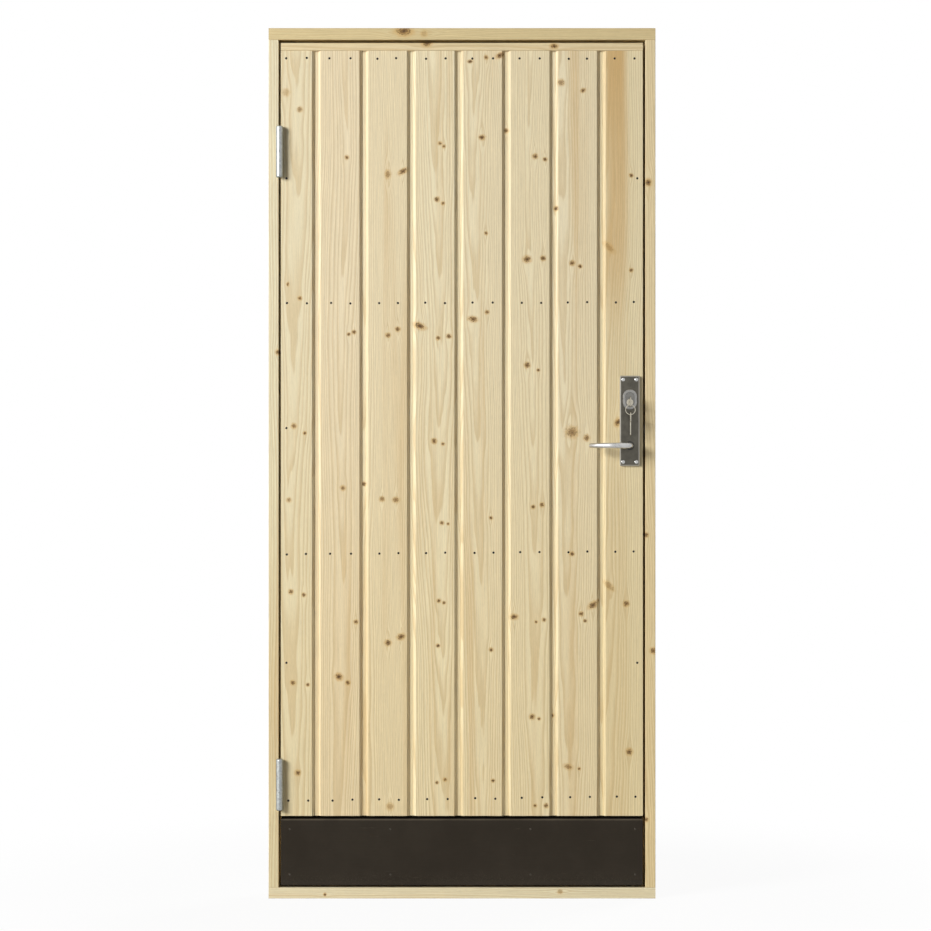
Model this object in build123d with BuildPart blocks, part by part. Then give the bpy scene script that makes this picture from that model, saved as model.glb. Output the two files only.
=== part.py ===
from build123d import *
import os
from math import ceil, hypot

# A ledged and boarded shed door in its rebated frame, in millimetres.
# Seen from outside: +X to the right, +Y into the building, +Z up.
# The origin is the middle of the sill's underside.

os.makedirs("parts", exist_ok=True)

# Frame timbers
frame_width = 880.0
frame_height = 1980.0
frame_depth = 92.0
jamb_face = 23.0
head_face = 27.0
sill_face = 25.0
stop_height = 14.0
arris = 1.5

# Gaps round the leaf
hinge_gap = 5.0
lock_gap = 6.0
top_gap = 7.0
bottom_gap = 5.0
stop_gap = 5.0

# Leaf timbers
board_thickness = 22.0
rail_thickness = 34.0
stile_width = 95.0
rail_width = 95.0
bottom_rail_width = 222.0
lower_middle_rail_above_bottom = 756.0
upper_middle_rail_below_top = 591.0
lock_edge_bevel = 2.0

# Tongued and grooved boards
board_cover = 108.0
first_board_face = 70.5
least_last_face = 40.0
groove_width = 20.5
chamfer_width = 5.5
chamfer_depth = 4.5
groove_depth = 6.0
tongue_thickness = 6.0
tongue_length = 6.5
tongue_clearance = 0.3
back_joint = 1.0

# Strip over the board tops
strip_height = 17.5
strip_proud = 2.0

# Kick plate, a folded sheet on its own board
kick_plate_height = 151.5
kick_sheet = 1.0
kick_bend = 1.5
kick_bottom_flange = 14.0
drip_gap = 6.5
drip_clearance = 0.5

# Lift-off hinges
hinge_height = 118.0
upper_hinge_below_top = 248.5
lower_hinge_above_bottom = 230.0
knuckle_radius = 8.0
knuckle_end_round = 4.0
knuckle_clearance = 1.0
bearing_gap = 0.3
pin_radius = 5.0
pin_length = 42.0
pin_clearance = 0.08
blade_thickness = 2.5
blade_height = 52.0
blade_depth = 36.0
blade_corner = 6.0
blade_screw_front = 10.0
blade_screw_back = 25.0
blade_screw_rise = 16.0

# Countersunk and plain screw holes
screw_hole_radius = 2.2
screw_sink_radius = 4.0
strike_screw_end = 12.0
forend_screw_end = 6.0
plate_screw_side = 7.5
plate_screw_end = 9.0

# Lock, set in the lock stile
spindle_height = 1030.0
backset = 30.0
lock_centres = 105.0
case_depth = 45.0
case_height = 185.0
case_thickness = 16.0
case_below_spindle = 40.0
mortise_clearance = 0.5
forend_thickness = 3.0
forend_width = 20.0
forend_overhang = 12.0
latch_height = 18.0
latch_width = 12.0
latch_length = 20.0
latch_above_spindle = 36.0
latch_clearance = 0.2

# Strike plate in the lock jamb
strike_length = 120.0
strike_width = 22.0
strike_thickness = 2.5
strike_slot_margin = 2.0
strike_pocket_depth = 15.0

# Long plates
plate_width = 45.0
inside_plate_width = 32.0
plate_height = 205.0
plate_thickness = 8.0
plate_corner = 3.0
plate_bevel = 2.5
plate_below_spindle = 46.0

# Lever handles
neck_radius = 7.0
lever_radius = 6.6
lever_tip_radius = 5.2
lever_tip_round = 4.4
lever_reach = 55.0
lever_bend = 26.0
lever_bow = 85.0
lever_bow_turn = 50.0
bushing_radius = 9.5
bushing_proud = 1.0
bushing_clearance = 0.4
bushing_seat = 0.05
spindle_side = 8.0
follower_clearance = 0.8
spindle_hole_radius = 10.0

# Oval cylinder, its ring and its plug
cylinder_width = 21.0
cylinder_height = 34.0
cylinder_proud = 1.0
cylinder_clearance = 0.2
cylinder_ring_margin = 5.5
cylinder_ring_height = 6.0
cylinder_ring_bevel = 2.0
plug_radius = 7.5
plug_clearance = 0.05
plug_length = 32.0

# Keys and key ring
key_thickness = 2.2
bow_length = 22.0
bow_width = 24.0
bow_corner = 6.0
bow_hole_length = 16.0
bow_hole_width = 8.0
bow_bridge = 4.0
bow_stand_off = 3.0
blade_width = 8.0
blade_length = 31.0
blade_tip = 2.5
key_cut_depth = 2.2
key_cut_width = 3.0
key_cut_pitch = 4.5
key_cuts = 4
keyway_clearance = 0.15
ring_inner_radius = 10.0
ring_wire = 1.6
ring_thickness = 2.0
ring_edge = 0.3
ring_slit = 0.3
ring_slit_depth = 0.5
ring_play = 0.2

# Holes for the frame fixings
fixing_radius = 5.0
lowest_fixing = 130.0
low_fixing = 640.0
high_fixing_below_top = 640.0
highest_fixing_below_top = 120.0

# Planes and edges worked out from the sizes above
front = -frame_depth / 2
back = frame_depth / 2
lip_x = frame_width / 2 - jamb_face
stop_x = lip_x - stop_height
lip_top = frame_height - head_face
leaf_left = -lip_x + hinge_gap
leaf_right = lip_x - lock_gap
leaf_bottom = sill_face + bottom_gap
leaf_top = lip_top - top_gap
leaf_height = leaf_top - leaf_bottom
leaf_width = leaf_right - leaf_left
board_back = front + board_thickness
leaf_back = board_back + rail_thickness
stop_front = leaf_back + stop_gap
fixing_y = (front + stop_front) / 2
fixing_heights = (
    lowest_fixing,
    low_fixing,
    frame_height - high_fixing_below_top,
    frame_height - highest_fixing_below_top,
)
kick_top = leaf_bottom + kick_plate_height
board_bottom = kick_top + drip_gap
board_top = leaf_top - strip_height
upper_rail_z = leaf_top - upper_middle_rail_below_top
lower_rail_z = leaf_bottom + lower_middle_rail_above_bottom
upper_hinge_z = leaf_top - upper_hinge_below_top
lower_hinge_z = leaf_bottom + lower_hinge_above_bottom
hinge_x = -lip_x + hinge_gap / 2
hinge_y = front - knuckle_radius - knuckle_clearance
spindle_x = leaf_right - backset
edge_x = leaf_right - lock_edge_bevel
case_y = (board_back + leaf_back) / 2
case_bottom = spindle_height - case_below_spindle
latch_z = spindle_height + latch_above_spindle
plate_middle = spindle_height - plate_below_spindle + plate_height / 2
cylinder_z = spindle_height + lock_centres
plug_z = cylinder_z - (cylinder_height - cylinder_width) / 2
plate_front = front - plate_thickness
cylinder_front = plate_front - cylinder_ring_height - cylinder_proud
case_front = case_y - case_thickness / 2
cylinder_hole = (cylinder_height + 2 * cylinder_clearance, cylinder_width + 2 * cylinder_clearance)
cylinder_ring_outline = (
    cylinder_height + 2 * cylinder_ring_margin,
    cylinder_width + 2 * cylinder_ring_margin,
)
bushing_hole_radius = bushing_radius + bushing_clearance

pieces = []


def keep(builder, label):
    """Label a finished piece and put it on the list to write."""
    builder.part.label = label
    pieces.append(builder.part)


def cut_box(x0, x1, y0, y1, z0, z1):
    """Cut a box between two corners out of the piece being built."""
    with Locations(((x0 + x1) / 2, (y0 + y1) / 2, (z0 + z1) / 2)):
        Box(x1 - x0, y1 - y0, z1 - z0, mode=Mode.SUBTRACT)


def cut_screw_holes(x, side, places, depth):
    """Cut countersunk holes at (y, z) places into a face at x that looks along +X (1) or -X (-1)."""
    for y, z in places:
        with Locations(Plane(origin=(x, y, z), z_dir=(side, 0, 0))):
            CounterSinkHole(screw_hole_radius, screw_sink_radius, depth=depth)


def cut_blade_pocket(x0, y1, middle, half):
    """Cut the recess for one hinge blade, in the upper (1) or lower (-1) half of a hinge."""
    blade_z = middle + half * hinge_height / 4
    cut_box(x0, x0 + blade_thickness, front, y1, blade_z - blade_height / 2, blade_z + blade_height / 2)


# Jambs: a rebated section standing between sill and head
def make_jamb(label, side):
    """A jamb on the hinge side (-1) or on the lock side (1), with its fixing holes and pockets."""
    outer, lip, stop = side * frame_width / 2, side * lip_x, side * stop_x
    with BuildPart() as jamb:
        with BuildSketch(Plane.XY.offset(sill_face)):
            with BuildLine():
                Polyline(
                    (outer, front),
                    (lip, front),
                    (lip, stop_front),
                    (stop, stop_front),
                    (stop, back),
                    (outer, back),
                    close=True,
                )
            make_face()
        extrude(amount=lip_top - sill_face)
        fillet(jamb.edges().filter_by(Axis.Z).group_by(Axis.Y)[0], radius=arris)
        for height in fixing_heights:
            with Locations(Plane(origin=(lip, fixing_y, height), z_dir=(side, 0, 0))):
                Hole(radius=fixing_radius)
        if side < 0:
            for middle in (upper_hinge_z, lower_hinge_z):
                cut_blade_pocket(-lip_x - blade_thickness, front + blade_depth, middle, -1)
        else:
            cut_box(
                lip_x,
                lip_x + strike_thickness,
                case_y - strike_width / 2,
                case_y + strike_width / 2,
                latch_z - strike_length / 2,
                latch_z + strike_length / 2,
            )
            cut_box(
                lip_x,
                lip_x + strike_pocket_depth,
                case_y - latch_width / 2 - strike_slot_margin,
                case_y + latch_width / 2 + strike_slot_margin,
                latch_z - latch_height / 2 - strike_slot_margin,
                latch_z + latch_height / 2 + strike_slot_margin,
            )
    keep(jamb, label)


make_jamb("hinge_jamb", -1)
make_jamb("lock_jamb", 1)


# Head and sill: planks over the full width, each with a stop between the jambs
def make_crosspiece(label, low, high, stop_low, stop_high):
    """The head or the sill, between two heights, with its stop behind the leaf."""
    with BuildPart() as crosspiece:
        with BuildSketch(Plane.YZ.offset(-frame_width / 2)):
            with Locations((0, (low + high) / 2)):
                Rectangle(frame_depth, high - low)
        extrude(amount=frame_width)
        fillet(crosspiece.edges().filter_by(Axis.X).group_by(Axis.Y)[0], radius=arris)
        with BuildSketch(Plane.YZ.offset(-stop_x)):
            with Locations(((stop_front + back) / 2, (stop_low + stop_high) / 2)):
                Rectangle(back - stop_front, stop_high - stop_low)
        extrude(amount=2 * stop_x)
    keep(crosspiece, label)


make_crosspiece("head", lip_top, frame_height, lip_top - stop_height, lip_top)
make_crosspiece("sill", 0, sill_face, sill_face, sill_face + stop_height)


# Strike plate, let in flush with the lock jamb
with BuildPart() as strike_plate:
    with BuildSketch(Plane.YZ.offset(lip_x)):
        with Locations((case_y, latch_z)):
            Rectangle(strike_width, strike_length)
            Rectangle(
                latch_width + 2 * strike_slot_margin,
                latch_height + 2 * strike_slot_margin,
                mode=Mode.SUBTRACT,
            )
    extrude(amount=strike_thickness)
    strike_screw = strike_length / 2 - strike_screw_end
    strike_screws = ((case_y, latch_z - strike_screw), (case_y, latch_z + strike_screw))
    cut_screw_holes(lip_x, -1, strike_screws, strike_thickness)
keep(strike_plate, "strike_plate")


# Boards: each face is chamfered on both sides, with a tongue on its left and a groove on its right
def make_board(label, face_start, face_end, is_first, is_last):
    """One board, given where its face starts and ends across the leaf."""
    chamfer_y, floor_y = front + chamfer_depth, front + groove_depth
    tongue_back = floor_y + tongue_thickness
    end_x = face_end + chamfer_width
    seat_x = end_x - tongue_length - tongue_clearance
    neighbour_end = face_start - groove_width + chamfer_width
    if is_first:
        left_side = [(face_start, board_back), (face_start, front)]
    else:
        left_side = [
            (neighbour_end + back_joint, board_back),
            (neighbour_end + back_joint, tongue_back),
            (neighbour_end - tongue_length, tongue_back),
            (neighbour_end - tongue_length, floor_y),
            (face_start - chamfer_width, floor_y),
            (face_start - chamfer_width, chamfer_y),
            (face_start, front),
        ]
    if is_last:
        right_side = [(face_end, front), (face_end, board_back)]
    else:
        right_side = [
            (face_end, front),
            (end_x, chamfer_y),
            (end_x, floor_y - tongue_clearance),
            (seat_x, floor_y - tongue_clearance),
            (seat_x, tongue_back + tongue_clearance),
            (end_x, tongue_back + tongue_clearance),
            (end_x, board_back),
        ]
    with BuildPart() as board:
        with BuildSketch(Plane.XY.offset(board_bottom)):
            with BuildLine():
                Polyline(*left_side, *right_side, close=True)
            make_face()
        extrude(amount=board_top - board_bottom)
        if is_first:
            for middle in (upper_hinge_z, lower_hinge_z):
                cut_blade_pocket(leaf_left, board_back, middle, 1)
        if is_last:
            with BuildSketch(Plane.XZ.offset(-front)):
                cut_lock_holes()
            extrude(amount=-board_thickness, mode=Mode.SUBTRACT)
    keep(board, label)


def cut_lock_holes():
    """Holes in a sketch for the spindle and for the oval cylinder."""
    with Locations((spindle_x, spindle_height)):
        Circle(spindle_hole_radius)
    with Locations((spindle_x, cylinder_z)):
        SlotOverall(*cylinder_hole, rotation=90)


later_boards = ceil((leaf_width - first_board_face - groove_width - least_last_face) / board_cover)
second_face = leaf_left + first_board_face + groove_width
last_face = second_face + (later_boards - 1) * board_cover
make_board("hinge_board", leaf_left, leaf_left + first_board_face, True, False)
for index in range(later_boards - 1):
    face = second_face + index * board_cover
    make_board(f"board_{index + 2}", face, face + board_cover - groove_width, False, False)
make_board("lock_board", last_face, leaf_right, False, True)


# Strip that covers the board tops
with BuildPart() as top_strip:
    with BuildSketch(Plane.YZ.offset(leaf_left)):
        with Locations(((front - strip_proud + board_back) / 2, (board_top + leaf_top) / 2)):
            Rectangle(board_thickness + strip_proud, strip_height)
    extrude(amount=leaf_width)
    fillet(top_strip.edges().filter_by(Axis.X).group_by(Axis.Y)[0], radius=arris)
keep(top_strip, "top_strip")


# Stiles over the full height of the leaf
with BuildPart() as hinge_stile:
    with BuildSketch(Plane.XY.offset(leaf_bottom)):
        with Locations((leaf_left + stile_width / 2, case_y)):
            Rectangle(stile_width, rail_thickness)
    extrude(amount=leaf_height)
    for hinge_middle in (upper_hinge_z, lower_hinge_z):
        cut_blade_pocket(leaf_left, front + blade_depth, hinge_middle, 1)
keep(hinge_stile, "hinge_stile")

with BuildPart() as lock_stile:
    with BuildSketch(Plane.XY.offset(leaf_bottom)):
        with BuildLine():
            Polyline(
                (leaf_right - stile_width, board_back),
                (leaf_right, board_back),
                (edge_x, leaf_back),
                (leaf_right - stile_width, leaf_back),
                close=True,
            )
        make_face()
    extrude(amount=leaf_height)
    cut_box(
        edge_x - forend_thickness - case_depth - mortise_clearance,
        leaf_right,
        case_front - mortise_clearance,
        case_front + case_thickness + mortise_clearance,
        case_bottom - mortise_clearance,
        case_bottom + case_height + mortise_clearance,
    )
    cut_box(
        edge_x - forend_thickness,
        leaf_right,
        case_y - forend_width / 2,
        case_y + forend_width / 2,
        case_bottom - forend_overhang,
        case_bottom + case_height + forend_overhang,
    )
    with BuildSketch(Plane.XZ.offset(-board_back)):
        cut_lock_holes()
    extrude(amount=case_front - board_back, dir=(0, 1, 0), mode=Mode.SUBTRACT)
    with BuildSketch(Plane.XZ.offset(-leaf_back)):
        with Locations((spindle_x, spindle_height)):
            Circle(spindle_hole_radius)
    extrude(amount=leaf_back - case_y, mode=Mode.SUBTRACT)
keep(lock_stile, "lock_stile")


# Rails between the stiles
def make_rail(label, low, high):
    """A rail between two heights."""
    with BuildPart() as rail:
        with BuildSketch(Plane.XY.offset(low)):
            with Locations(((leaf_left + leaf_right) / 2, case_y)):
                Rectangle(leaf_width - 2 * stile_width, rail_thickness)
        extrude(amount=high - low)
    keep(rail, label)


make_rail("top_rail", leaf_top - rail_width, leaf_top)
make_rail("upper_middle_rail", upper_rail_z - rail_width / 2, upper_rail_z + rail_width / 2)
make_rail("lower_middle_rail", lower_rail_z - rail_width / 2, lower_rail_z + rail_width / 2)
make_rail("bottom_rail", leaf_bottom, leaf_bottom + bottom_rail_width)


# Board behind the kick plate
with BuildPart() as kick_board:
    with BuildSketch(Plane.YZ.offset(leaf_left)):
        with Locations(((front + board_back) / 2, (leaf_bottom + kick_top) / 2)):
            Rectangle(board_thickness, kick_plate_height - 2 * kick_sheet)
    extrude(amount=leaf_width)
    fillet(kick_board.edges().filter_by(Axis.X).group_by(Axis.Y)[0], radius=kick_bend)
keep(kick_board, "kick_board")

# Kick plate: one folded sheet, turned up behind the drip gap at its top and under the board at its foot
with BuildPart() as kick_plate:
    with BuildLine(Plane.YZ.offset(leaf_left)):
        FilletPolyline(
            (board_back - kick_sheet, board_bottom - drip_clearance),
            (board_back - kick_sheet, kick_top),
            (front - kick_sheet, kick_top),
            (front - kick_sheet, leaf_bottom),
            (front + kick_bottom_flange, leaf_bottom),
            radius=kick_bend + kick_sheet,
        )
    make_brake_formed(thickness=kick_sheet, station_widths=leaf_width, side=Side.LEFT)
keep(kick_plate, "kick_plate")


# Lift-off hinges: the frame half carries the pin, the leaf half drops over it
def make_hinge_half(label, middle, half):
    """The leaf half (1) above the middle of a hinge, or the frame half (-1) below it."""
    low = middle + bearing_gap / 2 if half > 0 else middle - hinge_height / 2
    length = (hinge_height - bearing_gap) / 2
    blade_x = leaf_left if half > 0 else -lip_x - blade_thickness
    blade_z = middle + half * hinge_height / 4
    with BuildPart() as hinge:
        with BuildSketch(Plane.XY.offset(low)):
            with Locations((hinge_x, hinge_y)):
                Circle(knuckle_radius)
        extrude(amount=length)
        ends = hinge.edges().filter_by(GeomType.CIRCLE).sort_by(Axis.Z)
        fillet(ends[-1] if half > 0 else ends[0], radius=knuckle_end_round)
        with BuildSketch(Plane.YZ.offset(blade_x)):
            with Locations(((hinge_y + front + blade_depth) / 2, blade_z)):
                blade = Rectangle(front + blade_depth - hinge_y, blade_height)
            fillet(blade.vertices().group_by(Axis.X)[-1], radius=blade_corner)
        extrude(amount=blade_thickness)
        if half > 0:
            with BuildSketch(Plane.XY.offset(low)):
                with Locations((hinge_x, hinge_y)):
                    Circle(pin_radius + pin_clearance)
            extrude(amount=pin_length, mode=Mode.SUBTRACT)
        else:
            with BuildSketch(Plane.XY.offset(low + length)):
                with Locations((hinge_x, hinge_y)):
                    Circle(pin_radius)
            extrude(amount=pin_length)
        screws = (
            (front + blade_screw_front, blade_z - blade_screw_rise),
            (front + blade_screw_back, blade_z),
            (front + blade_screw_front, blade_z + blade_screw_rise),
        )
        cut_screw_holes(leaf_left if half > 0 else -lip_x, -half, screws, blade_thickness)
    keep(hinge, label)


make_hinge_half("upper_hinge_frame_half", upper_hinge_z, -1)
make_hinge_half("upper_hinge_leaf_half", upper_hinge_z, 1)
make_hinge_half("lower_hinge_frame_half", lower_hinge_z, -1)
make_hinge_half("lower_hinge_leaf_half", lower_hinge_z, 1)


# Lock case with its forend, and the latch bolt drawn back into it
with BuildPart() as lock_case:
    with BuildSketch(Plane.YZ.offset(edge_x - forend_thickness - case_depth)):
        with Locations((case_y, case_bottom + case_height / 2)):
            Rectangle(case_thickness, case_height)
    extrude(amount=case_depth)
    with BuildSketch(Plane.YZ.offset(edge_x - forend_thickness)):
        with Locations((case_y, case_bottom + case_height / 2)):
            Rectangle(forend_width, case_height + 2 * forend_overhang)
    extrude(amount=forend_thickness)
    with Locations(Plane(origin=(spindle_x, case_y, spindle_height), z_dir=(0, 1, 0))):
        Hole(radius=spindle_side / 2 * 2**0.5 + follower_clearance)
    with BuildSketch(Plane.YZ.offset(edge_x)):
        with Locations((case_y, latch_z)):
            Rectangle(latch_width + 2 * latch_clearance, latch_height + 2 * latch_clearance)
    extrude(amount=-latch_length, mode=Mode.SUBTRACT)
    forend_low, forend_high = case_bottom - forend_overhang, case_bottom + case_height + forend_overhang
    forend_screws = ((case_y, forend_low + forend_screw_end), (case_y, forend_high - forend_screw_end))
    cut_screw_holes(edge_x, 1, forend_screws, forend_thickness)
keep(lock_case, "lock_case")

with BuildPart() as latch_bolt:
    with BuildSketch(Plane.YZ.offset(edge_x - latch_length)):
        with Locations((case_y, latch_z)):
            Rectangle(latch_width, latch_height)
    extrude(amount=latch_length)
keep(latch_bolt, "latch_bolt")


# Long plates on both faces, with bevelled edges
def cut_plate_holes(width):
    """Holes in a sketch for the bushing and for the four corner screws of a plate."""
    with Locations((spindle_x, spindle_height)):
        Circle(bushing_hole_radius)
    with Locations((spindle_x, plate_middle)):
        with GridLocations(width - 2 * plate_screw_side, plate_height - 2 * plate_screw_end, 2, 2):
            Circle(screw_hole_radius)


with BuildPart() as outside_plate:
    with BuildSketch(Plane.XZ.offset(-front)):
        with Locations((spindle_x, plate_middle)):
            RectangleRounded(plate_width, plate_height, plate_corner)
    extrude(amount=plate_thickness)
    chamfer(outside_plate.faces().sort_by(Axis.Y)[0].edges(), length=plate_bevel)
    with BuildSketch(Plane.XZ.offset(-front)):
        cut_plate_holes(plate_width)
        with Locations((spindle_x, cylinder_z)):
            SlotOverall(*cylinder_hole, rotation=90)
    extrude(amount=plate_thickness, mode=Mode.SUBTRACT)
keep(outside_plate, "outside_plate")

with BuildPart() as inside_plate:
    with BuildSketch(Plane.XZ.offset(-leaf_back)):
        with Locations((spindle_x, plate_middle)):
            RectangleRounded(inside_plate_width, plate_height, plate_corner)
    extrude(amount=-plate_thickness)
    chamfer(inside_plate.faces().sort_by(Axis.Y)[-1].edges(), length=plate_bevel)
    with BuildSketch(Plane.XZ.offset(-leaf_back)):
        cut_plate_holes(inside_plate_width)
    extrude(amount=-plate_thickness, mode=Mode.SUBTRACT)
keep(inside_plate, "inside_plate")


# Oval cylinder in its raised ring
with BuildPart() as cylinder_ring:
    with BuildSketch(Plane.XZ.offset(-plate_front)):
        with Locations((spindle_x, cylinder_z)):
            SlotOverall(*cylinder_ring_outline, rotation=90)
    extrude(amount=cylinder_ring_height)
    chamfer(cylinder_ring.faces().sort_by(Axis.Y)[0].edges(), length=cylinder_ring_bevel)
    with BuildSketch(Plane.XZ.offset(-plate_front)):
        with Locations((spindle_x, cylinder_z)):
            SlotOverall(*cylinder_hole, rotation=90)
    extrude(amount=cylinder_ring_height, mode=Mode.SUBTRACT)
keep(cylinder_ring, "cylinder_ring")

with BuildPart() as lock_cylinder:
    with BuildSketch(Plane.XZ.offset(-case_front)):
        with Locations((spindle_x, cylinder_z)):
            SlotOverall(cylinder_height, cylinder_width, rotation=90)
        with Locations((spindle_x, plug_z)):
            Circle(plug_radius + plug_clearance, mode=Mode.SUBTRACT)
    extrude(amount=case_front - cylinder_front)
keep(lock_cylinder, "lock_cylinder")

with BuildPart() as cylinder_plug:
    with BuildSketch(Plane.XZ.offset(-cylinder_front)):
        with Locations((spindle_x, plug_z)):
            Circle(plug_radius)
            Rectangle(
                key_thickness + 2 * keyway_clearance,
                blade_width + 2 * keyway_clearance,
                mode=Mode.SUBTRACT,
            )
    extrude(amount=-plug_length)
keep(cylinder_plug, "cylinder_plug")


# Keys: a flat bow with an oblong hole, and a notched blade
def make_key(label, plane):
    """A key drawn on a plane whose x runs from the end of the bow to the tip of the blade."""
    tip = bow_length + blade_length
    with BuildPart() as key:
        with BuildSketch(plane):
            with Locations((bow_length / 2, 0)):
                RectangleRounded(bow_length, bow_width, bow_corner)
            with BuildLine():
                Polyline(
                    (bow_length / 2, -blade_width / 2),
                    (tip - blade_tip, -blade_width / 2),
                    (tip, 0),
                    (tip - blade_tip, blade_width / 2),
                    (bow_length / 2, blade_width / 2),
                    close=True,
                )
            make_face()
            with Locations((bow_bridge + bow_hole_width / 2, 0)):
                SlotOverall(bow_hole_length, bow_hole_width, rotation=90, mode=Mode.SUBTRACT)
            first_cut = tip - blade_tip - key_cut_pitch * (key_cuts - 0.5)
            for cut in range(key_cuts):
                with Locations((first_cut + cut * key_cut_pitch, blade_width / 2)):
                    Rectangle(key_cut_width, 2 * key_cut_depth, mode=Mode.SUBTRACT)
        extrude(amount=key_thickness / 2, both=True)
    keep(key, label)


bow_end_y = cylinder_front - bow_stand_off - bow_length
hang_y = bow_end_y + bow_bridge + bow_hole_width / 2
hang_z = plug_z - (bow_width + bow_hole_length) / 4
bridge_side = (bow_width - bow_hole_length) / 2
ring_top = hang_z + hypot(bridge_side, key_thickness) / 2 + ring_play
ring_z = ring_top - ring_inner_radius
spare_key_top = ring_z - ring_inner_radius + ring_play + bow_bridge

make_key("door_key", Plane(origin=(spindle_x, bow_end_y, plug_z), x_dir=(0, 1, 0), z_dir=(1, 0, 0)))
make_key("spare_key", Plane(origin=(spindle_x, hang_y, spare_key_top), x_dir=(0, 0, -1), z_dir=(1, 0, 0)))

# Key ring: two turns of flat wire with a fine slit between them
with BuildPart() as key_ring:
    with BuildSketch(Plane(origin=(spindle_x, hang_y, ring_z), x_dir=(0, 0, 1), z_dir=(1, 0, 0))):
        with Locations((ring_inner_radius + ring_wire / 2, 0)):
            turns = Rectangle(ring_wire, ring_thickness)
        chamfer(turns.vertices(), length=ring_edge)
        with Locations((ring_inner_radius + ring_wire, 0)):
            Rectangle(2 * ring_slit_depth, ring_slit, mode=Mode.SUBTRACT)
    revolve(axis=Axis((spindle_x, hang_y, ring_z), (0, 1, 0)))
keep(key_ring, "key_ring")


# Levers: a tapering round bar out from the plate, round to the hinge side and back towards the door
def make_lever(label, face, side):
    """The outside lever (-1) or the inside lever (1), from a face of the leaf."""
    plane = Plane(origin=(spindle_x, face, spindle_height), x_dir=(-1, 0, 0), z_dir=(0, 0, -side))
    with BuildPart() as lever:
        with BuildLine(plane) as path:
            neck = Line((0, 0), (0, lever_reach - lever_bend))
            bend = JernArc(start=neck @ 1, tangent=neck % 1, radius=lever_bend, arc_size=-90)
            bow = JernArc(start=bend @ 1, tangent=bend % 1, radius=lever_bow, arc_size=-lever_bow_turn)
        stations = ((neck, 0, neck_radius), (bow, 0, lever_radius), (bow, 1, lever_tip_radius))
        for line, place, radius in stations:
            with BuildSketch(Plane(origin=line @ place, z_dir=line % place)):
                Circle(radius)
        sweep(path=path.line, multisection=True)
        tip = lever.faces().sort_by_distance(bow @ 1)[0]
        fillet(tip.edges(), radius=lever_tip_round)
    keep(lever, label)


make_lever("outside_lever", front, -1)
make_lever("inside_lever", leaf_back, 1)


# Dark bushings that fill the plates' holes round the levers' necks
def make_bushing(label, face, side):
    """The outside bushing (-1) or the inside bushing (1), round the neck of its lever."""
    with BuildPart() as bushing:
        with BuildSketch(Plane(origin=(spindle_x, face, spindle_height), z_dir=(0, side, 0))):
            Circle(bushing_radius)
            Circle(neck_radius + bushing_seat, mode=Mode.SUBTRACT)
        extrude(amount=plate_thickness + bushing_proud)
    keep(bushing, label)


make_bushing("outside_bushing", front, -1)
make_bushing("inside_bushing", leaf_back, 1)

with BuildPart() as spindle:
    with BuildSketch(Plane.XZ.offset(-front)):
        with Locations((spindle_x, spindle_height)):
            Rectangle(spindle_side, spindle_side)
    extrude(amount=front - leaf_back)
keep(spindle, "spindle")


for piece in pieces:
    export_step(piece, f"parts/{piece.label}.step")
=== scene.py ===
"""Looks of a boarded pine shed door in its frame: knotty pine, coated sheet, zinc and satin metal."""

import logging
import math
import random
from dataclasses import dataclass, field
from enum import Enum

import bmesh
import bpy
from mathutils import Matrix, Vector


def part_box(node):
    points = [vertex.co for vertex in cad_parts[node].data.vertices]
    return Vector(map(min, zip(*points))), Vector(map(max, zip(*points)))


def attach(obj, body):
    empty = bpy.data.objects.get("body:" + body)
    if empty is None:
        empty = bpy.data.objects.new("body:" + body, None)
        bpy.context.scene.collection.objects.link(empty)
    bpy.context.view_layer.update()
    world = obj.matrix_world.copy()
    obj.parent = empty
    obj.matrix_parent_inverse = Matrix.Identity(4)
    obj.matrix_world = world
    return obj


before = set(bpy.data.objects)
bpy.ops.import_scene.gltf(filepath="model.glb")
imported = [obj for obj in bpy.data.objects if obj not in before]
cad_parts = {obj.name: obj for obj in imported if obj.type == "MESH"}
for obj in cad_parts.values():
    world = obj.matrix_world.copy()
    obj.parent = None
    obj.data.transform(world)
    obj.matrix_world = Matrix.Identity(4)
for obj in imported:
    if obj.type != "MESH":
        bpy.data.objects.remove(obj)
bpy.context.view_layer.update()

MM = 0.001
SHARP_ANGLE = math.radians(35.0)
log = logging.getLogger("shed_door")

Socket = bpy.types.NodeSocket
Sockets = bpy.types.bpy_prop_collection
Colour = tuple[float, float, float]
Triple = tuple[float, float, float]
Span = tuple[float, float]


class Grain(Enum):
    """The way the fibres run in a timber."""

    UPRIGHT = "upright"
    LEVEL = "level"


class Lay(Enum):
    """The way the fine brush lines run on a metal."""

    ALONG_X = (0.02, 1.0, 1.0)
    ALONG_Z = (1.0, 1.0, 0.02)


class Facing(Enum):
    """The side of the door that a fastener's head looks to."""

    OUT = (0.0, -1.0, 0.0)
    IN = (0.0, 1.0, 0.0)
    HINGE_SIDE = (-1.0, 0.0, 0.0)
    LOCK_SIDE = (1.0, 0.0, 0.0)


@dataclass(frozen=True)
class PhotoScale:
    """Where the photograph shows the door and how large one pixel is on the boards."""

    middle_column: float = 462.05
    sill_row: float = 899.0
    pixel_width: float = 2.277 * MM
    pixel_height: float = 2.272 * MM
    image_side: float = 931.0

    def across(self, column: float) -> float:
        """Metres to the right of the door's middle for a column of the photograph."""
        return (column - self.middle_column) * self.pixel_width

    def height(self, row: float) -> float:
        """Metres over the sill's underside for a row of the photograph."""
        return (self.sill_row - row) * self.pixel_height

    def column(self, across: float) -> float:
        """The column of the photograph for metres to the right of the door's middle."""
        return self.middle_column + across / self.pixel_width

    def row(self, height: float) -> float:
        """The row of the photograph for metres over the sill's underside."""
        return self.sill_row - height / self.pixel_height


PHOTO = PhotoScale()


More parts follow.
